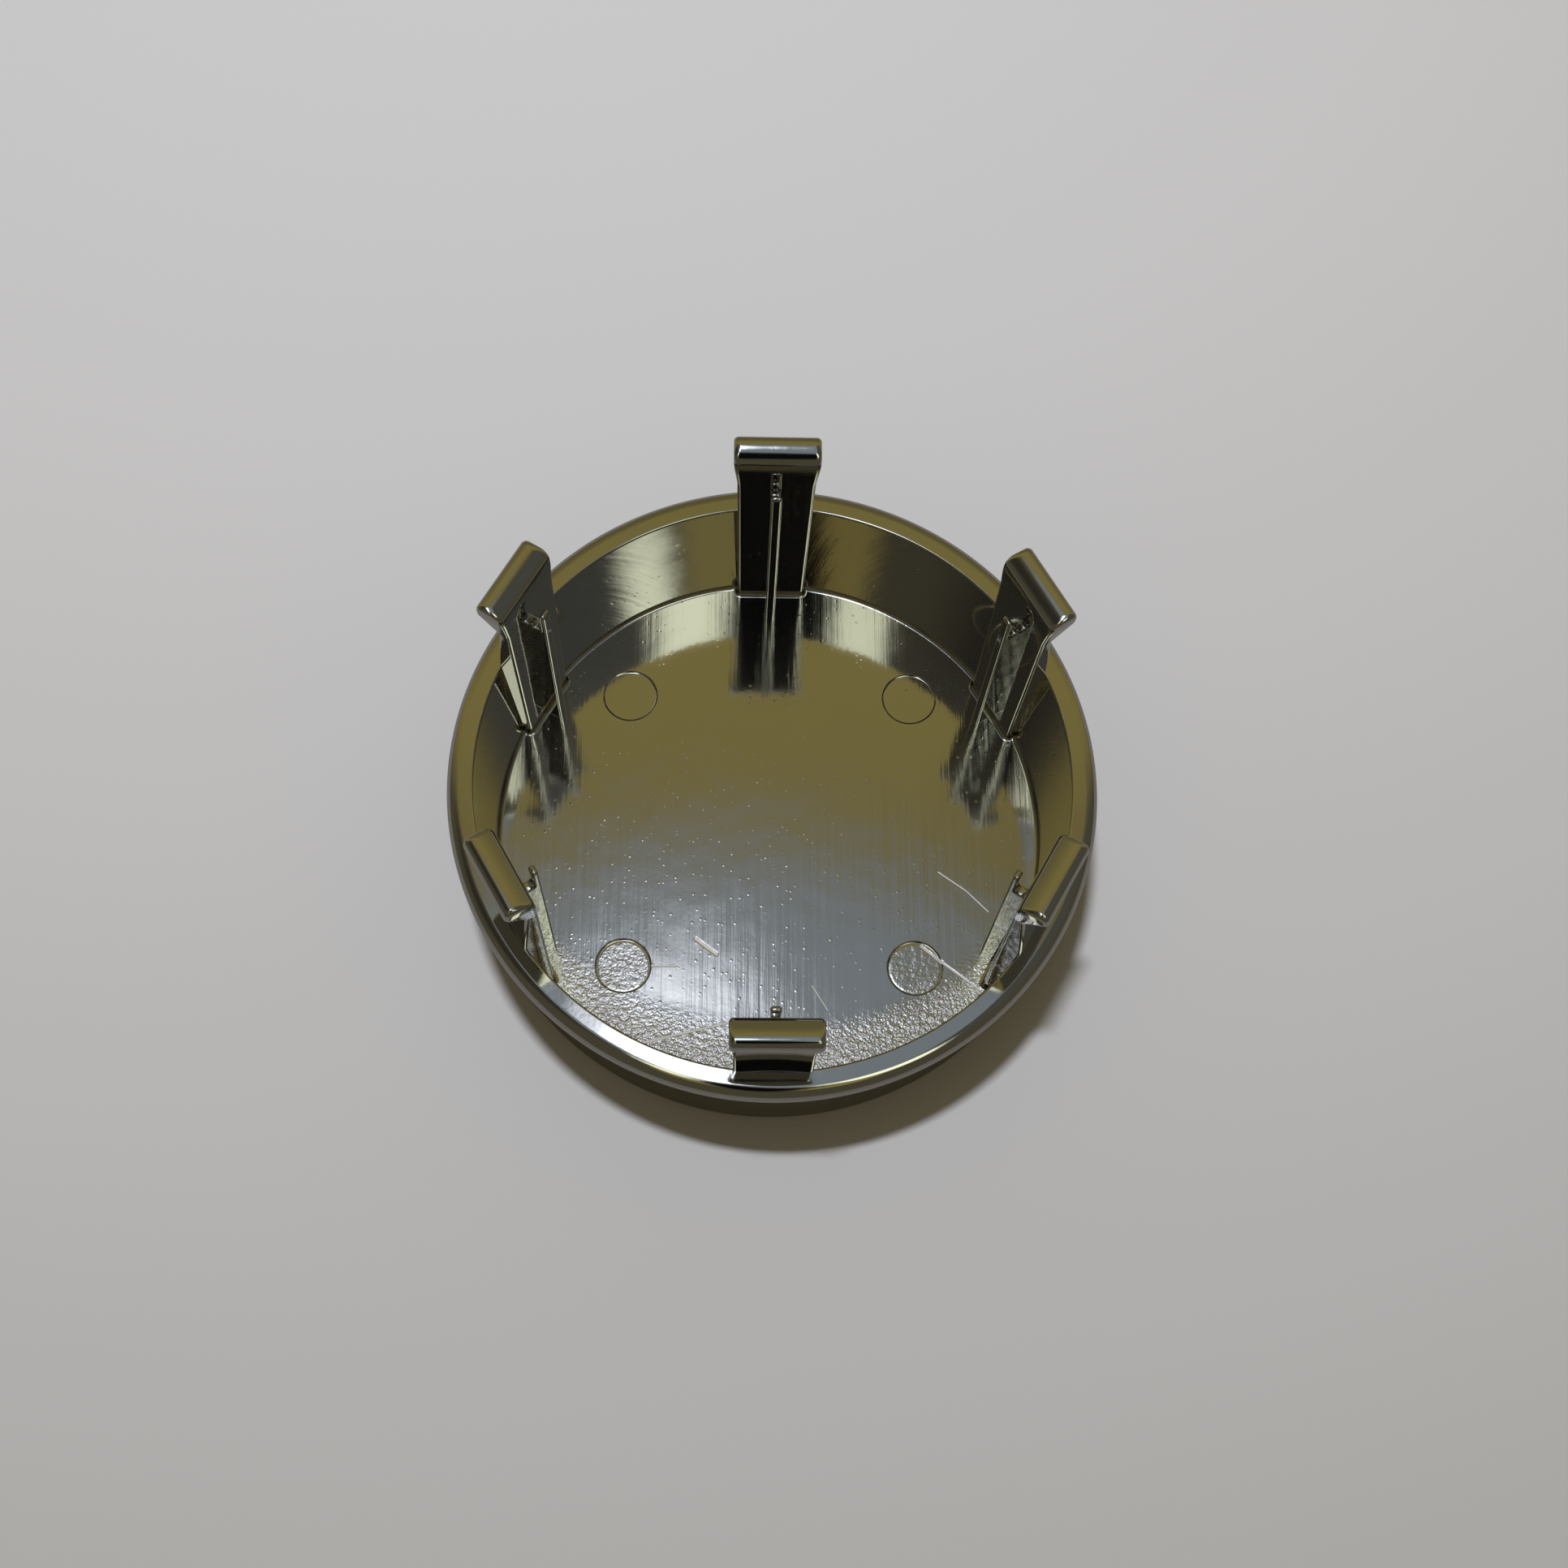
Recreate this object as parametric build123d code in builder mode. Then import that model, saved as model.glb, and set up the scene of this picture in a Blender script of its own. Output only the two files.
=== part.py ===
"""Hub nut cap: one plated moulding, a deep cup with six hooked snap legs standing in its mouth."""

import os
from math import radians, tan

from build123d import *

# All sizes in millimetres. The front face lies on Z = 0 and the open side looks up.

# Cup: wall, floor and seating rim
rim_diameter = 60.0
rim_height = 17.0
rim_width = 2.5
rim_edge_radius = 1.3
side_draft_angle = 6.0
front_edge_radius = 3.0
face_thickness = 2.2
wall_draft = 1.0
floor_corner_radius = 0.4

# Snap legs: a blade on the cup wall that flares into a rounded hook at its tip
leg_count = 6
leg_start_angle = 90.0
leg_rise = 12.7
leg_overlap = 0.1
leg_embed = 1.0
neck_rise = 8.3
blade_root_thickness = 2.1
blade_neck_thickness = 1.15
blade_root_width = 6.3
blade_neck_width = 6.9
hook_width = 8.0
hook_reach = 1.85
hook_nose_drop = 1.4
hook_inner_radius = 0.9
hook_outer_radius = 0.8
hook_nose_radius = 0.5
hook_neck_radius = 1.5
hook_end_radius = 0.8

# Stiffening rib on each blade, notched at its top as the seat of a wire spring ring
rib_thickness = 1.0
rib_depth = 1.7
prong_rise = 8.6
prong_thickness = 0.6
prong_edge_radius = 0.25
seat_depth = 3.4
seat_corner_radius = 0.45

# Shallow round marks that the ejector pins left on the floor
mark_count = 4
mark_start_angle = 45.0
mark_diameter = 5.5
mark_circle_radius = 19.85
mark_depth = 0.12

# Sizes that follow from those above
rim_radius = rim_diameter / 2
mouth_radius = rim_radius - rim_width
rim_edge_centre = rim_radius - rim_edge_radius
rim_corner_radius = rim_edge_centre + rim_edge_radius * tan(radians(45 + side_draft_angle / 2))
front_corner_radius = rim_corner_radius - rim_height * tan(radians(side_draft_angle))
foot_height = face_thickness - leg_embed
neck_height = rim_height + neck_rise
tip_height = rim_height + leg_rise
nose_height = tip_height - hook_nose_drop
blade_outer_radius = mouth_radius + leg_overlap
blade_inner_radius = blade_outer_radius - blade_root_thickness
neck_outer_radius = blade_inner_radius + blade_neck_thickness
hook_radius = neck_outer_radius + hook_reach
prong_height = rim_height + prong_rise
seat_height = prong_height - seat_depth
seat_blend_height = seat_height + seat_corner_radius
rib_inner_radius = blade_inner_radius - rib_depth
prong_outer_radius = rib_inner_radius + prong_thickness


# One snap leg, standing on +X
with BuildPart() as snap_leg:
    # Side view of the blade and hook, whose underside slopes back to the neck
    with BuildSketch(Plane.XZ) as leg_side:
        with BuildLine():
            Polyline(
                (blade_inner_radius, foot_height),
                (blade_inner_radius, tip_height),
                (hook_radius, tip_height),
                (hook_radius, nose_height),
                (neck_outer_radius, neck_height),
                (blade_outer_radius, rim_height),
                (blade_outer_radius, foot_height),
                close=True,
            )
        make_face()
        fillet(leg_side.vertices().group_by(Axis.Y)[3], hook_nose_radius)
        fillet(leg_side.vertices().group_by(Axis.Y)[2], hook_neck_radius)
        fillet(leg_side.vertices().group_by(Axis.Y)[-1].sort_by(Axis.X)[0], hook_inner_radius)
        fillet(leg_side.vertices().group_by(Axis.Y)[-1].sort_by(Axis.X)[-1], hook_outer_radius)
    extrude(amount=hook_width / 2, both=True)

    # Front view: the blade widens a little to its neck, then flares into the hook
    with BuildSketch(Plane.YZ) as leg_front:
        with BuildLine():
            Polyline(
                (-blade_root_width / 2, foot_height),
                (-blade_neck_width / 2, neck_height),
                (-hook_width / 2, nose_height),
                (-hook_width / 2, tip_height),
                (hook_width / 2, tip_height),
                (hook_width / 2, nose_height),
                (blade_neck_width / 2, neck_height),
                (blade_root_width / 2, foot_height),
                close=True,
            )
        make_face()
        fillet(leg_front.vertices().group_by(Axis.Y)[2], hook_nose_radius)
        fillet(leg_front.vertices().group_by(Axis.Y)[1], hook_neck_radius)
        fillet(leg_front.vertices().group_by(Axis.Y)[-1], hook_end_radius)
    extrude(amount=rim_radius, mode=Mode.INTERSECT)

    # Rib along the middle of the blade, with the ring seat between its prong and the blade
    with BuildSketch(Plane.XZ) as rib_side:
        with BuildLine():
            Polyline(
                (rib_inner_radius, foot_height),
                (rib_inner_radius, prong_height),
                (prong_outer_radius, prong_height),
                (prong_outer_radius, seat_height),
                (blade_inner_radius, seat_height),
                (blade_inner_radius, seat_blend_height + seat_corner_radius),
                (blade_inner_radius + leg_overlap, seat_blend_height + seat_corner_radius),
                (blade_inner_radius + leg_overlap, foot_height),
                close=True,
            )
        make_face()
        fillet(rib_side.vertices().group_by(Axis.Y)[-1], prong_edge_radius)
        fillet(rib_side.vertices().group_by(Axis.Y)[1], seat_corner_radius)
    extrude(amount=rib_thickness / 2, both=True)

# The whole cap
with BuildPart() as hub_nut_cap:
    # Cup, turned from half of its section
    with BuildSketch(Plane.XZ) as cup_section:
        with BuildLine():
            Polyline(
                (0, 0),
                (front_corner_radius, 0),
                (rim_corner_radius, rim_height),
                (mouth_radius, rim_height),
                (mouth_radius - wall_draft, face_thickness),
                (0, face_thickness),
                close=True,
            )
        make_face()
        fillet(cup_section.vertices().group_by(Axis.Y)[-1].sort_by(Axis.X)[-1], rim_edge_radius)
        fillet(cup_section.vertices().group_by(Axis.Y)[1].sort_by(Axis.X)[-1], floor_corner_radius)
        fillet(cup_section.vertices().group_by(Axis.Y)[0].sort_by(Axis.X)[-1], front_edge_radius)
    revolve(axis=Axis.Z)

    # Legs around the mouth
    with PolarLocations(0, leg_count, start_angle=leg_start_angle):
        add(snap_leg.part)

    # Ejector marks in the floor
    with BuildSketch(Plane.XY.offset(face_thickness)) as ejector_marks:
        with PolarLocations(mark_circle_radius, mark_count, start_angle=mark_start_angle):
            Circle(mark_diameter / 2)
    extrude(amount=-mark_depth, mode=Mode.SUBTRACT)

os.makedirs("parts", exist_ok=True)
hub_nut_cap.part.label = "hub_nut_cap"
export_step(hub_nut_cap.part, "parts/hub_nut_cap.step")
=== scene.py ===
# %% [markdown]
# # A chrome-plated hub nut cap
# The real cap is one plastic moulding, plated with bright chrome: a deep cup whose open
# back carries six hooked legs that snap into a wheel hub. It lies on its face, so the
# camera looks into the cup. This lesson turns and lofts the moulding from numpy arrays,
# unites the surfaces into one closed skin and then gives it its plating.

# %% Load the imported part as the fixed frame
import math

import bmesh
import bpy
import numpy as np
from mathutils import Matrix, Vector


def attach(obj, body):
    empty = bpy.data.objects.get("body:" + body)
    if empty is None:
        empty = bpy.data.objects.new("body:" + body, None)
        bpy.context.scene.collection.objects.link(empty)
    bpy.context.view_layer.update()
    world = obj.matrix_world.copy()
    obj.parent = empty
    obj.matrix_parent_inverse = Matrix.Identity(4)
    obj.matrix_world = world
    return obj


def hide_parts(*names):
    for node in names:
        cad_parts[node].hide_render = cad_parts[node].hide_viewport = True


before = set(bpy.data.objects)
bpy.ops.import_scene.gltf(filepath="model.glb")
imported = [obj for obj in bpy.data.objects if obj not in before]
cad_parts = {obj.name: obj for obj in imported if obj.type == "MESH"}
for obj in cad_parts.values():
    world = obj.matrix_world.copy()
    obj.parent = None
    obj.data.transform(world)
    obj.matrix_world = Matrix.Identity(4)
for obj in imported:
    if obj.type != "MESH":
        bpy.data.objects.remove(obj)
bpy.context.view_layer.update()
MM = 0.001

# %% [markdown]
# ## Small tools for surfaces
# Every surface here is a grid of points: rows along a profile, columns around it. A grid
# needs only one rule for its quads, so the points can be worked out as whole arrays and
# handed to Blender in one go.


# %% Grid and mesh helpers
def grid_quads(rows, columns):
    """Quads of a grid whose columns close on themselves: corner (i, j), its right
    neighbour, the one above that and the one above the corner, the column taken modulo."""
    i, j = np.meshgrid(np.arange(rows - 1), np.arange(columns), indexing="ij")
    here, right = i * columns + j, i * columns + (j + 1) % columns
    return np.stack([here, right, right + columns, here + columns], -1).reshape(-1, 4)


def closed_loft(points):
    """A closed mesh from loops of points (loops, points on each, xyz): quads between
    neighbouring loops and one flat face over the first loop and one over the last."""
    loops, count = points.shape[:2]
    faces = grid_quads(loops, count).tolist()
    faces.append(np.arange(count)[::-1].tolist())
    faces.append((np.arange(count) + (loops - 1) * count).tolist())
    return points.reshape(-1, 3), faces


def new_object(name, points, faces):
    """A mesh object at the origin from points in millimetres and lists of corners."""
    mesh = bpy.data.meshes.new(name)
    mesh.from_pydata((points * MM).tolist(), [], faces)
    mesh.update()
    made = bpy.data.objects.new(name, mesh)
    bpy.context.scene.collection.objects.link(made)
    return made


def unit(vectors):
    """Each row divided by its own length."""
    return vectors / np.linalg.norm(vectors, axis=1, keepdims=True)


def rounded_section(corners, radii, steps=10):
    """A closed section with rounded corners. At each corner the arc's centre lies on the
    bisector, radius over the sine of the half angle away, and the arc turns from one
    tangent point to the other. A radius of nought leaves the corner sharp."""
    here = np.array(corners, float)
    radius = np.array(radii, float)[:, None]
    back = unit(np.roll(here, 1, 0) - here)
    ahead = unit(np.roll(here, -1, 0) - here)
    half = np.arccos(np.clip((back * ahead).sum(1, keepdims=True), -1, 1)) / 2
    bisector, across = unit(back + ahead), unit(back - ahead)
    centre = here + bisector * radius / np.sin(half)
    turn = (np.linspace(1, -1, steps)[None, :] * (np.pi / 2 - half))[..., None]
    swing = np.sin(turn) * across[:, None] - np.cos(turn) * bisector[:, None]
    points = (centre[:, None] + radius[..., None] * swing).reshape(-1, 2)
    return points[np.linalg.norm(points - np.roll(points, 1, 0), axis=1) > 1e-6]


# %% [markdown]
# ## The cup
# The cup is a turned shape, so its section does all the work: flat front, drafted side,
# rounded rim, drafted inner wall and flat floor. Blender's Spin or Screw could turn it, but
# a formula keeps the columns even. The two flat ends stay single faces, so that the
# mirror-bright floor is truly flat.

# %% Turn the cup
RIM_RADIUS, RIM_HEIGHT, RIM_ROUND = 30.0, 17.0, 1.3
MOUTH_RADIUS, FLOOR_RADIUS, FLOOR_HEIGHT = 27.5, 26.5, 2.2
FRONT_ROUND, MOUTH_ROUND, FLOOR_ROUND = 3.0, 0.2, 0.4
SIDE_DRAFT = math.radians(6.0)
RIM_CORNER = RIM_RADIUS - RIM_ROUND + RIM_ROUND * math.tan(math.pi / 4 + SIDE_DRAFT / 2)
FRONT_CORNER = RIM_CORNER - RIM_HEIGHT * math.tan(SIDE_DRAFT)


def cup():
    """Cup points: the section's radius times the cosine and sine of the turn, its height
    kept. The section runs from the front face's edge round the rim to the floor's edge."""
    section = rounded_section(
        [(0, 0), (FRONT_CORNER, 0), (RIM_CORNER, RIM_HEIGHT), (MOUTH_RADIUS, RIM_HEIGHT),
         (FLOOR_RADIUS, FLOOR_HEIGHT), (0, FLOOR_HEIGHT)],
        [0, FRONT_ROUND, RIM_ROUND, MOUTH_ROUND, FLOOR_ROUND, 0],
        steps=14,
    )
    section = section[section[:, 0] > 1]
    turn = np.linspace(0, 2 * np.pi, 360, endpoint=False)
    r, z = section[:, :1], section[:, 1:]
    return closed_loft(np.stack([r * np.cos(turn), r * np.sin(turn), z + 0 * turn], -1))


cap = new_object("plated_cap", *cup())
print("cup:", len(cap.data.polygons), "faces")

# %% [markdown]
# ## The snap legs
# Each leg is a blade that grows out of the floor and wall, thins towards its neck and then
# flares into a hook with a soft, pillow-like top. A pile of rounded rectangles, one above
# the other, follows all of that: only the inner edge, outer edge, width and corner rounding
# change with height. The lowest ones flare into the fillet at the foot, and the top is a
# superellipse, which has no hard border between its crown and its rounded edges.

# %% Loft one leg
NECK_HEIGHT, NOSE_HEIGHT, TIP_HEIGHT = 25.3, 28.3, 29.7
BLADE_INNER, BLADE_OUTER, NECK_OUTER, HOOK_OUTER = 25.5, 27.6, 26.65, 28.5
HOOK_RIDGE, HOOK_ROUND, CROWN_POWER = 27.65, 1.05, 2.15
FOOT_HALF, NECK_HALF, HOOK_HALF, HOOK_END_ROUND = 3.35, 3.65, 4.0, 0.5
BLADE_BEND, NECK_ROUND, NOSE_ROUND = 2.0, 1.5, 0.5
FOOT_FILLET, BLADE_EDGE, HOOK_EDGE = 0.45, 0.35, 0.45
LEAN, LEAN_START, FOOT_DEPTH = 0.4, 27.2, 0.3
THINNEST, ROUND_SHARE, ABOVE_TIP = 0.01, 0.48, 3.0
LOW_ROWS, BLADE_ROWS = (6.0, 11.0), np.linspace(16.4, 24.0, 6)
HOOK_ROWS = np.linspace(24.4, TIP_HEIGHT - HOOK_ROUND - 0.1, 30)


def profile_at(z, corners, radii):
    """The far edge of a rounded section at given heights, read between its points."""
    section = rounded_section(corners, radii, steps=16)
    section = section[section[:, 0] > 1]
    order = np.argsort(section[:, 1], kind="stable")
    return np.interp(z, section[order, 1], section[order, 0])


def dome(z, reach):
    """How far a superellipse stands from the hook's ridge at a height: the reach times
    (1 - h^n)^(1/n), where h climbs from 0 at the rounding's start to 1 at the tip."""
    climb = np.clip((z - (TIP_HEIGHT - HOOK_ROUND)) / HOOK_ROUND, 0, 1)
    return reach * (1 - climb**CROWN_POWER) ** (1 / CROWN_POWER)


def plan_loops(inner, outer, half, inner_round, outer_round, steps=7):
    """Rounded rectangles in plan, one row per height: four corner centres pulled in by the
    corner radius, and a quarter circle about each, taken counter-clockwise."""
    quarter = np.linspace(0, np.pi / 2, steps)
    corners = (
        (inner + inner_round, -half + inner_round, inner_round, np.pi + quarter),
        (outer - outer_round, -half + outer_round, outer_round, 1.5 * np.pi + quarter),
        (outer - outer_round, half - outer_round, outer_round, quarter),
        (inner + inner_round, half - inner_round, inner_round, 0.5 * np.pi + quarter),
    )
    arcs = [
        np.stack([x, y], -1)[:, None] + r[:, None, None] * np.stack([np.cos(turn), np.sin(turn)], -1)
        for x, y, r, turn in corners
    ]
    return np.concatenate(arcs, 1)


def leg():
    """Leg points on +X: heights, then the inner edge, outer edge and half width read from
    the side and front sections at each height. Under the crown the inner face leans out by
    the square of the climb."""
    quarter = np.linspace(0, np.pi / 2, 8)
    crown = np.linspace(0, np.pi / 2, 26)[:-1]
    z = np.concatenate([
        [FLOOR_HEIGHT - FOOT_DEPTH],
        FLOOR_HEIGHT + FOOT_FILLET * (1 - np.cos(quarter)),
        LOW_ROWS,
        BLADE_ROWS,
        HOOK_ROWS,
        TIP_HEIGHT - HOOK_ROUND + HOOK_ROUND * np.sin(crown),
        [TIP_HEIGHT],
    ])
    sunk = np.clip(1 - (z - FLOOR_HEIGHT) / FOOT_FILLET, 0, 1)
    flare = FOOT_FILLET * (1 - np.sqrt(1 - sunk**2))
    lean = LEAN * (np.clip(z - LEAN_START, 0, None) / (TIP_HEIGHT - LEAN_START)) ** 2
    face = BLADE_INNER + lean
    inner = HOOK_RIDGE - dome(z, HOOK_RIDGE - face) - flare
    side = profile_at(
        z,
        [(0, 0), (BLADE_OUTER, 0), (BLADE_OUTER, RIM_HEIGHT), (NECK_OUTER, NECK_HEIGHT),
         (HOOK_OUTER, NOSE_HEIGHT), (HOOK_OUTER, TIP_HEIGHT + ABOVE_TIP), (0, TIP_HEIGHT + ABOVE_TIP)],
        [0, 0, BLADE_BEND, NECK_ROUND, NOSE_ROUND, 0, 0],
    )
    outer = np.minimum(side, HOOK_RIDGE + dome(z, HOOK_OUTER - HOOK_RIDGE))
    half = flare + profile_at(
        z,
        [(0, 1), (FOOT_HALF, 1), (NECK_HALF, NECK_HEIGHT), (HOOK_HALF, NOSE_HEIGHT),
         (HOOK_HALF, TIP_HEIGHT), (0, TIP_HEIGHT)],
        [0, 0, NECK_ROUND, NOSE_ROUND, HOOK_END_ROUND, 0],
    )
    outer = np.maximum(outer, inner + THINNEST)
    room = (outer - inner) * ROUND_SHARE
    rounding = np.interp(z, [NECK_HEIGHT, NOSE_HEIGHT], [BLADE_EDGE, HOOK_EDGE])
    plan = plan_loops(inner, outer, half, np.minimum(rounding + flare, room), np.minimum(rounding, room))
    return closed_loft(np.concatenate([plan, np.broadcast_to(z[:, None, None], plan.shape[:2] + (1,))], -1))


one_leg = new_object("one_leg", *leg())
print("leg:", len(one_leg.data.polygons), "faces")

# %% [markdown]
# ## The rib on each leg
# A thin rib stiffens each blade. Its top is notched, so that a wire spring ring could sit
# between a small prong and the blade. It is a flat plate: one section, repeated across its
# thickness and pulled in a little at both sides, which rounds its edges as plating does.

# %% Make one rib and unite it with the leg
RIB_INNER, RIB_HALF, RIB_EDGE = 23.8, 0.5, 0.24
PRONG_OUTER, PRONG_HEIGHT, SEAT_HEIGHT = 24.4, 25.6, 22.2
SEAT_ROUND, PRONG_ROUND, SEAT_BLEND = 0.45, 0.28, 0.9
ROOT_DEPTH, NOTCH_DEPTH = 1.0, 0.02


def inward_normals(section):
    """Normals of a counter-clockwise section, scaled so that a shift along them moves both
    neighbouring edges by the same amount: twice the sum over its squared length."""
    before, after = section - np.roll(section, 1, 0), np.roll(section, -1, 0) - section
    left = [unit(np.stack([-edge[:, 1], edge[:, 0]], 1)) for edge in (before, after)]
    total = left[0] + left[1]
    return 2 * total / (total**2).sum(1, keepdims=True)


def rib():
    """Rib points: the side section moved inwards along its own normals by the edge radius
    less the height of a quarter circle, at each step across the thickness."""
    foot, blend = FLOOR_HEIGHT - FOOT_DEPTH, SEAT_HEIGHT + SEAT_BLEND
    root, notch = BLADE_INNER + ROOT_DEPTH, BLADE_INNER + NOTCH_DEPTH
    section = rounded_section(
        [(RIB_INNER, foot), (root, foot), (root, blend), (notch, blend), (notch, SEAT_HEIGHT),
         (PRONG_OUTER, SEAT_HEIGHT), (PRONG_OUTER, PRONG_HEIGHT), (RIB_INNER, PRONG_HEIGHT)],
        [0, 0, 0, 0, SEAT_ROUND, SEAT_ROUND, PRONG_ROUND, PRONG_ROUND],
        steps=9,
    )
    quarter = np.linspace(0, np.pi / 2, 6)
    lift = RIB_HALF - RIB_EDGE * (1 - np.cos(quarter))
    across = np.concatenate([-lift, lift[::-1]])[:, None]
    pull = RIB_EDGE * (1 - np.sin(np.concatenate([quarter, quarter[::-1]])))[:, None, None]
    flat = section[None] + pull * inward_normals(section)[None]
    return closed_loft(np.stack([flat[..., 0], across + 0 * flat[..., 0], flat[..., 1]], -1))


def facing_out(piece):
    """Merges doubles and turns every face outwards."""
    work = bmesh.new()
    work.from_mesh(piece.data)
    bmesh.ops.remove_doubles(work, verts=work.verts, dist=1e-8)
    bmesh.ops.recalc_face_normals(work, faces=work.faces)
    work.to_mesh(piece.data)
    work.free()


def combine(base, other, how):
    """Replaces base's mesh by its union with other, or its difference, worked out by the
    exact Boolean solver, and removes other."""
    step = base.modifiers.new(how, "BOOLEAN")
    step.operation, step.solver, step.object = how, "EXACT", other
    graph = bpy.context.evaluated_depsgraph_get()
    mesh = bpy.data.meshes.new_from_object(base.evaluated_get(graph))
    base.modifiers.clear()
    base.data = mesh
    bpy.data.objects.remove(other)


one_rib = new_object("one_rib", *rib())
for piece in (cap, one_leg, one_rib):
    facing_out(piece)
combine(one_leg, one_rib, "UNION")
print("leg with rib:", len(one_leg.data.polygons), "faces")

# %% [markdown]
# ## Six legs, one moulding
# The legs stand 60 degrees apart. The finished leg is copied round the axis as one array of
# points, united with the cup, and then the ejector pins' shallow round marks are sunk into
# the floor. One closed skin remains, as on the real moulding.

# %% Unite the legs and sink the ejector marks
LEG_COUNT, FIRST_LEG = 6, 90
MARK_COUNT, FIRST_MARK, MARK_CIRCLE, MARK_RADIUS, MARK_DEPTH = 4, 45, 19.85, 2.75, 0.12
MARK_SLOPE = np.array([(-0.24, -1.0), (-0.15, -0.85), (-0.03, -0.15), (0.08, 0.6)])


def polar_copies(name, points, faces, count, start):
    """Copies of a mesh about Z: each point times the turning matrix of each copy."""
    turn = np.radians(start + 360 / count * np.arange(count))
    c, s = np.cos(turn)[:, None], np.sin(turn)[:, None]
    x, y, z = points.T
    copies = np.stack([c * x - s * y, s * x + c * y, z + 0 * c], -1).reshape(-1, 3)
    every = [[corner + k * len(points) for corner in face] for k in range(count) for face in faces]
    return new_object(name, copies, every)


def mark_cutter():
    """A disc with a sloping edge: circles that widen from the mark's floor upwards. Each
    row of the slope is a radius to add and a height as a share of the depth."""
    turn = np.linspace(0, 2 * np.pi, 96, endpoint=False)
    radius = MARK_RADIUS + MARK_SLOPE[:, :1]
    height = FLOOR_HEIGHT + MARK_DEPTH * MARK_SLOPE[:, 1:]
    loops = [MARK_CIRCLE + radius * np.cos(turn), radius * np.sin(turn), height + 0 * turn]
    return closed_loft(np.stack(loops, -1))


leg_points = np.empty(len(one_leg.data.vertices) * 3)
one_leg.data.vertices.foreach_get("co", leg_points)
leg_faces = [list(face.vertices) for face in one_leg.data.polygons]
legs = polar_copies("six_legs", leg_points.reshape(-1, 3) / MM, leg_faces, LEG_COUNT, FIRST_LEG)
bpy.data.objects.remove(one_leg)
combine(cap, legs, "UNION")
marks = polar_copies("ejector_marks", *mark_cutter(), MARK_COUNT, FIRST_MARK)
combine(cap, marks, "DIFFERENCE")
triangles = sum(len(face.vertices) - 2 for face in cap.data.polygons)
print("moulding:", len(cap.data.polygons), "faces,", triangles, "triangles")

# %% [markdown]
# ## Clean mirror shading
# On chrome every small error of a normal shows as a bent reflection. Edges sharper than 32
# degrees are marked, and the Weighted Normal modifier lets the large flat faces lead, so
# the floor and blades stay flat right up to their rounded edges.

# %% Smooth shading that keeps the sharp junctions
SHARP_ANGLE, FLAT_WEIGHT = math.radians(32), 90

cap.data.polygons.foreach_set("use_smooth", np.ones(len(cap.data.polygons), bool))
work = bmesh.new()
work.from_mesh(cap.data)
for edge in work.edges:
    edge.smooth = len(edge.link_faces) == 2 and edge.calc_face_angle(0) < SHARP_ANGLE
work.to_mesh(cap.data)
work.free()
flat_lead = cap.modifiers.new("flat_faces_lead", "WEIGHTED_NORMAL")
flat_lead.keep_sharp = True
flat_lead.weight = FLAT_WEIGHT
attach(cap, "root")
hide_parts("hub_nut_cap")
print("sharp edges:", sum(edge.use_edge_sharp for edge in cap.data.edges), "of", len(cap.data.edges))

# %% [markdown]
# ## The plating
# Bright chrome is a mirror, a little darker than silver, but this one isn't perfect: the
# floor keeps fine streaks from its mould, tiny pimples in the plating, a slow waviness, pits
# along its near edge and a few scratches from handling. Pale matt specks painted among the
# pits stand in for glints of light. An image texture could hold all of that, but nodes stay
# sharp at any distance. Each bump is a height in millimetres. They add up and feed one Bump
# node, so their slopes stay real sizes.


# %% Node helpers
def add_node(tree, kind, values=None, **settings):
    """A new node with its properties and the values of its input sockets set."""
    node = tree.nodes.new(kind)
    for key, value in settings.items():
        setattr(node, key, value)
    for key, value in (values or {}).items():
        node.inputs[key].default_value = value
    return node


def math_node(tree, operation, first, second=None, clamp=False):
    """A Math node: each operand is a socket to link or a plain number."""
    node = add_node(tree, "ShaderNodeMath", operation=operation, use_clamp=clamp)
    for slot, operand in enumerate((first, second)):
        if isinstance(operand, bpy.types.NodeSocket):
            tree.links.new(operand, node.inputs[slot])
        elif operand is not None:
            node.inputs[slot].default_value = operand
    return node.outputs[0]


def ramp(tree, value, low, high, start=0.0, end=1.0):
    """A smooth step from start to end as the value climbs from low to high."""
    node = add_node(tree, "ShaderNodeMapRange", interpolation_type="SMOOTHSTEP")
    tree.links.new(value, node.inputs["Value"])
    for key, number in (("From Min", low), ("From Max", high), ("To Min", start), ("To Max", end)):
        node.inputs[key].default_value = number
    return node.outputs[0]


def mix_colour(tree, factor, first, second):
    """A colour that goes from first to second with the factor: each a socket or a colour."""
    node = add_node(tree, "ShaderNodeMix", data_type="RGBA")
    tree.links.new(factor, node.inputs["Factor"])
    for slot, colour in ((6, first), (7, second)):
        if isinstance(colour, bpy.types.NodeSocket):
            tree.links.new(colour, node.inputs[slot])
        else:
            node.inputs[slot].default_value = (*colour, 1)
    return node.outputs[2]


def new_group(name, inputs, outputs):
    """An empty shader node group with named sockets, and its input and output nodes."""
    group = bpy.data.node_groups.new(name, "ShaderNodeTree")
    for key, kind in inputs:
        group.interface.new_socket(key, in_out="INPUT", socket_type=kind)
    for key, kind in outputs:
        group.interface.new_socket(key, in_out="OUTPUT", socket_type=kind)
    return group, group.nodes.new("NodeGroupInput"), group.nodes.new("NodeGroupOutput")


# %% [markdown]
# ### Pimples in the plating
# Electroplating leaves sparse grains. A Voronoi texture gives every cell a point and a
# random colour: the distance to the point makes a round bump, and the random number keeps
# only some of them, so the grains are scattered and not a pattern.


# %% Pimple group
PIMPLE_TOP, PIMPLE_FOOT = 0.05, 0.42


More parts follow.
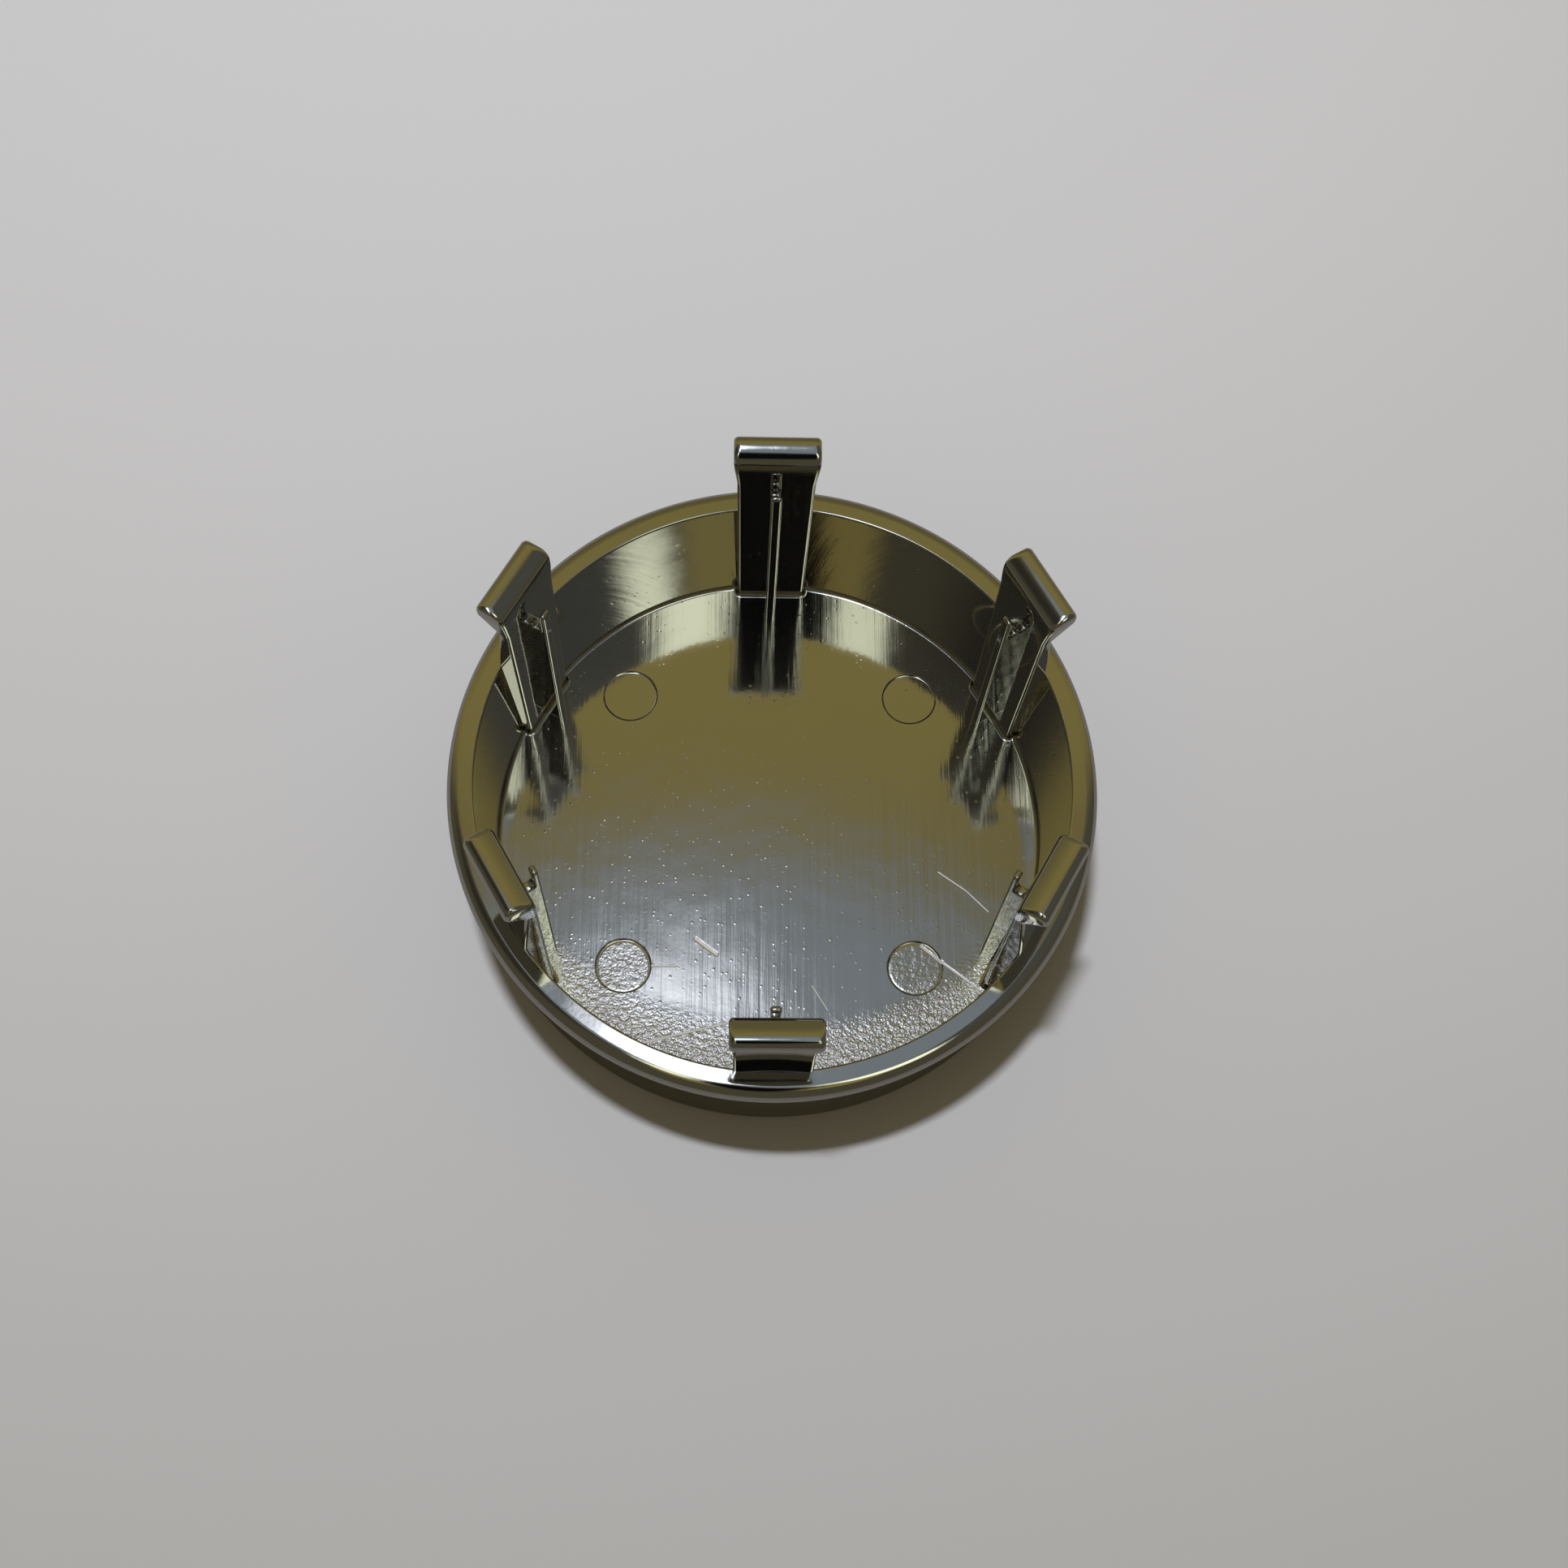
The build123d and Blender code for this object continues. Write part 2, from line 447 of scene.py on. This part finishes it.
def pimple_group():
    """Round bumps on a share of the cells: 1 at a cell's point and 0 at the pimple's foot,
    a little less than half a cell away, times a random size."""
    group, source, result = new_group(
        "plating_pimples",
        [("Place", "NodeSocketVector"), ("Cells per mm", "NodeSocketFloat"), ("Share", "NodeSocketFloat")],
        [("Height", "NodeSocketFloat")],
    )
    cells = add_node(group, "ShaderNodeTexVoronoi", feature="F1")
    group.links.new(source.outputs["Place"], cells.inputs["Vector"])
    group.links.new(source.outputs["Cells per mm"], cells.inputs["Scale"])
    dice = add_node(group, "ShaderNodeSeparateColor")
    group.links.new(cells.outputs["Color"], dice.inputs["Color"])
    kept = math_node(group, "LESS_THAN", dice.outputs["Red"], source.outputs["Share"])
    bump = ramp(group, cells.outputs["Distance"], PIMPLE_TOP, PIMPLE_FOOT, 1.0, 0.0)
    sized = math_node(group, "MULTIPLY", bump, dice.outputs["Green"])
    group.links.new(math_node(group, "MULTIPLY", sized, kept), result.inputs["Height"])
    return group


pimples = pimple_group()
print("pimple group:", len(pimples.nodes), "nodes")

# %% [markdown]
# ### Scratches
# A scratch is a thin groove along a line. The distance from a point to the nearest point of
# the line is worked out with vector maths, and a smooth step turns it into a groove.


# %% Scratch group
def scratch_group():
    """A groove between two ends: the point's share along the line is its dot product with
    the line over the line's squared length, held between 0 and 1, and the distance from
    that place fades the groove from 1 to 0 over its half width."""
    group, source, result = new_group(
        "scratch",
        [("Place", "NodeSocketVector"), ("From", "NodeSocketVector"), ("To", "NodeSocketVector"),
         ("Half width", "NodeSocketFloat")],
        [("Groove", "NodeSocketFloat")],
    )

    def vector(operation, first, second):
        node = add_node(group, "ShaderNodeVectorMath", operation=operation)
        group.links.new(first, node.inputs[0])
        group.links.new(second, node.inputs[3] if operation == "SCALE" else node.inputs[1])
        return node.outputs["Value"] if operation in ("DOT_PRODUCT", "DISTANCE") else node.outputs["Vector"]

    line = vector("SUBTRACT", source.outputs["To"], source.outputs["From"])
    reach = vector("SUBTRACT", source.outputs["Place"], source.outputs["From"])
    along, squared = vector("DOT_PRODUCT", reach, line), vector("DOT_PRODUCT", line, line)
    share = math_node(group, "DIVIDE", along, squared, clamp=True)
    away = vector("DISTANCE", reach, vector("SCALE", line, share))
    fade = math_node(group, "DIVIDE", away, source.outputs["Half width"])
    group.links.new(ramp(group, fade, 0.2, 1.0, 1.0, 0.0), result.inputs["Groove"])
    return group


scratch = scratch_group()
print("scratch group:", len(scratch.nodes), "nodes")

# %% [markdown]
# ### Chrome
# The floor is a touch rougher than the rest, because its mould face was only ground. Object
# coordinates are in metres, so a Mapping node turns them into millimetres first. Scratches
# and the pale specks near the edge lose their Metallic value, so they scatter light and show
# pale against the mirror: the scratches as worn plating, the specks as painted glints.

# %% Chrome material
# The pale colour serves both scratched-through plating and specks painted as glints.
CHROME, BARE_AND_GLINT_PALE = (0.60, 0.60, 0.61), (0.80, 0.79, 0.76)
FLOOR_ROUGHNESS, WALL_ROUGHNESS, SCRATCH_ROUGHNESS = 0.085, 0.06, 0.22
FLOOR_EDGE = (FLOOR_HEIGHT + 0.02, FLOOR_HEIGHT + 0.3)
GRAIN_PER_MM, GRAIN_HEIGHT, HAZE = 2.2, 0.0014, 0.03
WAVES_PER_MM, WAVE_HEIGHT = 0.22, 0.022
STREAK_STRETCH, STREAK_HEIGHT = (1.3, 0.035, 1.0), 0.010
PIMPLES_PER_MM, PIMPLE_SHARE, PIMPLE_HEIGHT = 2.4, 0.22, 0.006
WORN_MARK, WORN_MARK_EDGE, WORN_MARK_DEPTH = MARK_CIRCLE / math.sqrt(2), (2.3, 2.6), 0.025
# Pits and pale specks share a band along the near edge; the specks are painted glints.
PIT_AND_GLINT_CENTRE, PIT_AND_GLINT_REACH, PIT_DEPTH = (0.0, 10.0, FLOOR_HEIGHT), (28.5, 34.0), 0.085
GRIT_PER_MM, GLINT_SPECK_LEVELS, SCRATCH_DEPTH = 2.3, (0.60, 0.68), 0.018
SCRATCHES = (
    ((-7.1, -11.3), (-5.1, -12.8), 0.26),
    ((16.5, -4.3), (19.2, -6.2), 0.08),
    ((19.2, -6.2), (21.3, -8.3), 0.08),
    ((14.7, -11.8), (16.6, -13.4), 0.28),
    ((16.6, -13.4), (20.3, -16.2), 0.15),
    ((-18.7, -14.2), (-17.0, -14.1), 0.14),
    ((-11.3, -14.0), (-9.0, -14.0), 0.14),
    ((-12.1, -21.6), (-3.3, -19.4), 0.14),
    ((4.1, -15.9), (5.6, -18.3), 0.08),
)


def noise(tree, place, scale, detail, roughness=0.5):
    """The factor of a noise texture with so many features per millimetre."""
    node = add_node(
        tree, "ShaderNodeTexNoise", {"Scale": scale, "Detail": detail, "Roughness": roughness}
    )
    tree.links.new(place, node.inputs["Vector"])
    return node.outputs["Fac"]


def times(tree, first, second):
    """One value times another."""
    return math_node(tree, "MULTIPLY", first, second)


def plus(tree, first, second):
    """One value plus another."""
    return math_node(tree, "ADD", first, second)


def distance_from(tree, place, point):
    """How far a place is from a fixed point, in millimetres."""
    node = add_node(tree, "ShaderNodeVectorMath", operation="DISTANCE")
    node.inputs[1].default_value = point
    tree.links.new(place, node.inputs[0])
    return node.outputs["Value"]


def worn_mark_mask(tree, axes):
    """1 inside the two near ejector marks: the distance from a mark's centre, with X taken
    without its sign, so that one mark stands for both."""
    from_mark = add_node(tree, "ShaderNodeCombineXYZ")
    sideways = math_node(tree, "ABSOLUTE", axes.outputs["X"])
    tree.links.new(math_node(tree, "SUBTRACT", sideways, WORN_MARK), from_mark.inputs["X"])
    tree.links.new(plus(tree, axes.outputs["Y"], WORN_MARK), from_mark.inputs["Y"])
    away = distance_from(tree, from_mark.outputs["Vector"], (0, 0, 0))
    return ramp(tree, away, *WORN_MARK_EDGE, 1.0, 0.0)


def floor_wear_and_glints(tree, here, axes):
    """The floor's height in millimetres and the mask of its pale matt spots: streaks, pimples,
    worn marks, pits and scratches added up, with scratches cut to bare metal and pale specks
    in the pits painted as glints."""
    stretched = add_node(tree, "ShaderNodeMapping", {"Scale": STREAK_STRETCH})
    tree.links.new(here, stretched.inputs["Vector"])
    streaks = noise(tree, stretched.outputs["Vector"], 1.0, 3.0, 0.6)
    pimple = add_node(tree, "ShaderNodeGroup", node_tree=pimples)
    tree.links.new(here, pimple.inputs["Place"])
    pimple.inputs["Cells per mm"].default_value = PIMPLES_PER_MM
    pimple.inputs["Share"].default_value = PIMPLE_SHARE
    grit = noise(tree, here, GRIT_PER_MM, 3.0, 0.6)
    pits_and_glints = ramp(tree, distance_from(tree, here, PIT_AND_GLINT_CENTRE), *PIT_AND_GLINT_REACH)
    rough_spots = plus(
        tree, times(tree, worn_mark_mask(tree, axes), WORN_MARK_DEPTH), times(tree, pits_and_glints, PIT_DEPTH)
    )
    height = times(tree, pimple.outputs["Height"], PIMPLE_HEIGHT)
    height = plus(tree, height, times(tree, streaks, STREAK_HEIGHT))
    height = plus(tree, height, times(tree, rough_spots, grit))
    # Pale matt specks in the near-edge band: painted glints.
    bare_and_glint = times(tree, ramp(tree, grit, *GLINT_SPECK_LEVELS), pits_and_glints)
    for start, end, half_width in SCRATCHES:
        groove = add_node(tree, "ShaderNodeGroup", node_tree=scratch)
        tree.links.new(here, groove.inputs["Place"])
        groove.inputs["From"].default_value = (*start, FLOOR_HEIGHT)
        groove.inputs["To"].default_value = (*end, FLOOR_HEIGHT)
        groove.inputs["Half width"].default_value = half_width
        cut = groove.outputs["Groove"]
        height = math_node(tree, "SUBTRACT", height, times(tree, cut, SCRATCH_DEPTH))
        bare_and_glint = math_node(tree, "MAXIMUM", cut, bare_and_glint)
    return height, bare_and_glint


def chrome_plating():
    """The plating: mirror metal with the floor's wear, a slow waviness and a fine grain in
    its bump, duller on the floor, and matt and pale on worn-through scratches and on specks
    painted as glints."""
    material = bpy.data.materials.new("chrome_plating")
    material.use_nodes = True
    tree = material.node_tree
    shader = tree.nodes["Principled BSDF"]
    place = add_node(tree, "ShaderNodeMapping", {"Scale": (1 / MM, 1 / MM, 1 / MM)})
    tree.links.new(add_node(tree, "ShaderNodeTexCoord").outputs["Object"], place.inputs["Vector"])
    here = place.outputs["Vector"]
    axes = add_node(tree, "ShaderNodeSeparateXYZ")
    tree.links.new(here, axes.inputs["Vector"])
    floor = ramp(tree, axes.outputs["Z"], *FLOOR_EDGE, 1.0, 0.0)
    wear, bare_and_glint = floor_wear_and_glints(tree, here, axes)
    bare_and_glint = times(tree, bare_and_glint, floor)
    grain = noise(tree, here, GRAIN_PER_MM, 2.0)

    waves = noise(tree, here, WAVES_PER_MM, 1.0)
    height = plus(tree, times(tree, wear, floor), times(tree, waves, WAVE_HEIGHT))
    height = plus(tree, height, times(tree, grain, GRAIN_HEIGHT))
    bump = add_node(tree, "ShaderNodeBump", {"Strength": 1.0, "Distance": MM})
    tree.links.new(height, bump.inputs["Height"])
    tree.links.new(bump.outputs["Normal"], shader.inputs["Normal"])

    # Scratches and the painted glint specks lose their metal and turn pale.
    tree.links.new(math_node(tree, "SUBTRACT", 1.0, bare_and_glint), shader.inputs["Metallic"])
    tree.links.new(mix_colour(tree, bare_and_glint, CHROME, BARE_AND_GLINT_PALE), shader.inputs["Base Color"])
    dull = plus(tree, times(tree, bare_and_glint, SCRATCH_ROUGHNESS), FLOOR_ROUGHNESS - WALL_ROUGHNESS)
    haze = times(tree, math_node(tree, "SUBTRACT", grain, 0.5), HAZE)
    roughness = plus(tree, plus(tree, times(tree, floor, dull), haze), WALL_ROUGHNESS)
    tree.links.new(roughness, shader.inputs["Roughness"])
    return material


cap.data.materials.clear()
cap.data.materials.append(chrome_plating())
print("plating:", len(cap.data.materials[0].node_tree.nodes), "nodes")

# %% [markdown]
# ## Table
# The cap lies on a plain pale table. It is only the stage, so a single face is enough.

# %% Table
TABLE_HALF = 1500.0
# Glossy rays see the table in a darker painted shade, standing in for the shadow round the cap.
PALE, PAINTED_SHADE_IN_MIRROR = (0.70, 0.70, 0.72), (0.30, 0.285, 0.26)
TABLE_ROUGHNESS, TABLE_GLOSS = 0.6, 0.2


def pale_table():
    """A square face under the cap with a matt paint. Mirror rays see it in a darker, warm
    painted shade, which stands in for the shadow round the cap in its reflections."""
    corner = TABLE_HALF * np.array([[-1, -1, 0], [1, -1, 0], [1, 1, 0], [-1, 1, 0]], float)
    made = new_object("table", corner, [[0, 1, 2, 3]])
    paint = bpy.data.materials.new("pale_table")
    paint.use_nodes = True
    shader = paint.node_tree.nodes["Principled BSDF"]
    rays = add_node(paint.node_tree, "ShaderNodeLightPath")
    # Painted shade for mirror rays only.
    tone = mix_colour(paint.node_tree, rays.outputs["Is Glossy Ray"], PALE, PAINTED_SHADE_IN_MIRROR)
    paint.node_tree.links.new(tone, shader.inputs["Base Color"])
    shader.inputs["Roughness"].default_value = TABLE_ROUGHNESS
    shader.inputs["Specular IOR Level"].default_value = TABLE_GLOSS
    made.data.materials.append(paint)
    return made


pale_table()
print("table:", 2 * TABLE_HALF, "mm wide")

# %% [markdown]
# ## Light
# Chrome shows the room more than itself, so the room is lit the way a bench is: one small
# lamp almost overhead, which draws the crisp shadow, and around it a pale ceiling, an olive
# wall behind the cap, two soft bright panels beside the camera and the dark shape of the
# camera itself. The lamp comes first.

# %% Lamp
LAMP_HEIGHT, LAMP_LEAN, LAMP_SIZE, LAMP_POWER = 0.49, (-0.083, 0.038), 0.045, 2.5
LAMP_AIM, LAMP_COLOUR = (-0.02, 0.68, 0.0), (0.925, 0.945, 1.0)


def bench_lamp():
    """A round area light over the cap, moved sideways by its lean times its height. It aims
    at a place behind the cap, so the table grows darker towards the camera."""
    lamp = bpy.data.lights.new("bench_lamp", "AREA")
    lamp.shape, lamp.size, lamp.energy, lamp.color = "DISK", LAMP_SIZE, LAMP_POWER, LAMP_COLOUR
    made = bpy.data.objects.new("bench_lamp", lamp)
    bpy.context.scene.collection.objects.link(made)
    made.visible_glossy = False
    made.location = (LAMP_LEAN[0] * LAMP_HEIGHT, LAMP_LEAN[1] * LAMP_HEIGHT, LAMP_HEIGHT)
    made.rotation_euler = (Vector(LAMP_AIM) - made.location).to_track_quat("-Z", "Y").to_euler()
    return made


print("lamp at", [round(x, 3) for x in bench_lamp().location], "m")

# %% [markdown]
# ### The room in the mirror
# Large area lights could stand for the walls and panels, but they would also light the
# table. Here the world shader paints them as soft ellipses on the sky, seen from above, and
# Light Path lets only mirror rays see them. The table gets one even, warm fill instead.

# %% Sky of soft panels
FILL = (0.17, 0.145, 0.085)
HORIZON = (0.62, 0.62, 0.64)
DIM_ROOM = (0.085, 0.075, 0.045)
PANELS = (
    ("olive_wall", (0.0, 0.62), (1.1, 0.34), 0, 0.35, (0.265, 0.215, 0.066)),
    ("low_wall", (0.0, 1.0), (1.3, 0.42), 0, 0.5, (0.15, 0.125, 0.05)),
    ("grey_side", (0.52, -0.05), (0.30, 0.34), 0, 0.6, (0.085, 0.085, 0.07)),
    ("dark_side", (-0.55, 0.0), (0.28, 0.25), 0, 0.6, (0.035, 0.032, 0.022)),
    ("ceiling", (0.0, 0.03), (0.26, 0.29), 0, 0.12, (0.235, 0.268, 0.285)),
    ("right_glow", (0.21, -0.54), (0.12, 0.10), 0, 0.5, (0.33, 0.27, 0.09)),
    ("left_glow", (-0.20, -0.52), (0.11, 0.10), 0, 0.5, (0.30, 0.24, 0.07)),
    ("right_panel", (0.28, -0.30), (0.19, 0.11), -35, 0.4, (1.6, 1.65, 1.15)),
    ("tube_far", (-0.06, 0.06), (0.065, 0.19), -12, 0.3, (3.0, 3.1, 3.3)),
    ("left_panel", (-0.18, -0.28), (0.08, 0.14), -10, 0.4, (1.4, 1.45, 1.0)),
    ("camera_shade", (-0.03, -0.43), (0.13, 0.25), 0, 0.3, (0.004, 0.004, 0.004)),
)


def paint_sky(tree):
    """The panels laid over each other: each one's mask is 1 where the direction, centred on
    the panel, turned by its angle and divided by its half sizes, is shorter than 1."""
    direction = add_node(tree, "ShaderNodeTexCoord").outputs["Generated"]
    colour = DIM_ROOM
    for name, centre, half_size, angle, softness, light in PANELS:
        fit = add_node(tree, "ShaderNodeMapping", vector_type="TEXTURE", name=name)
        fit.inputs["Location"].default_value = (*centre, 0)
        fit.inputs["Rotation"].default_value = (0, 0, math.radians(angle))
        fit.inputs["Scale"].default_value = (*half_size, 1e6)
        tree.links.new(direction, fit.inputs["Vector"])
        length = add_node(tree, "ShaderNodeVectorMath", operation="LENGTH")
        tree.links.new(fit.outputs["Vector"], length.inputs[0])
        mask = ramp(tree, length.outputs["Value"], 1 - softness, 1 + softness, 1.0, 0.0)
        colour = mix_colour(tree, mask, colour, light)
    return colour


def bench_world():
    """Mirror rays see the panels, matt surfaces an even fill and the camera a pale wall."""
    world = bpy.data.worlds.new("bench")
    world.use_nodes = True
    tree = world.node_tree
    rays = add_node(tree, "ShaderNodeLightPath")
    matt = mix_colour(tree, rays.outputs["Is Diffuse Ray"], paint_sky(tree), FILL)
    seen = mix_colour(tree, rays.outputs["Is Camera Ray"], matt, HORIZON)
    tree.links.new(seen, tree.nodes["Background"].inputs["Color"])
    return world


scene = bpy.context.scene
scene.world = bench_world()
scene.view_settings.view_transform = "Standard"
scene.cycles.use_denoising = True
scene.cycles.caustics_reflective = False
print("sky panels:", len(PANELS))

# %% [markdown]
# ## Camera
# The camera looks down into the cup from almost 70 degrees above the rim, a little rolled,
# and close enough for some perspective. Aiming it with a constraint would lose the roll, so
# its three axes are worked out as vectors and written straight into its matrix.

# %% Camera
IMAGE_WIDTH, FOCAL_PIXELS, SENSOR = 1932, 2558.23, 36.0
ELEVATION, ROLL, TURN = (math.radians(x) for x in (69.506, 5.314, -4.998))
FROM_RIM_CENTRE = np.array([0.994, -67.337, 178.342])


def view_camera():
    """A camera looking down at its elevation, rolled about its line of sight, and the whole
    turned about the cap's axis."""
    forward = np.array([0, math.cos(ELEVATION), -math.sin(ELEVATION)])
    right = np.array([1.0, 0, 0])
    up = np.cross(right, forward)
    camera_x = math.cos(ROLL) * right + math.sin(ROLL) * up
    camera_y = math.cos(ROLL) * up - math.sin(ROLL) * right
    c, s = math.cos(TURN), math.sin(TURN)
    about = np.array([[c, -s, 0], [s, c, 0], [0, 0, 1]])
    matrix = np.eye(4)
    matrix[:3, :3] = about @ np.stack([camera_x, camera_y, -forward], 1)
    matrix[:3, 3] = (about @ FROM_RIM_CENTRE + [0, 0, RIM_HEIGHT]) * MM
    lens = bpy.data.cameras.new("view")
    lens.sensor_width, lens.lens = SENSOR, SENSOR * FOCAL_PIXELS / IMAGE_WIDTH
    lens.clip_start, lens.clip_end = 0.005, 20
    made = bpy.data.objects.new("view", lens)
    scene.collection.objects.link(made)
    made.matrix_world = Matrix(matrix.tolist())
    return made


scene.camera = view_camera()
print("camera at", [round(x / MM, 1) for x in scene.camera.location], "mm")
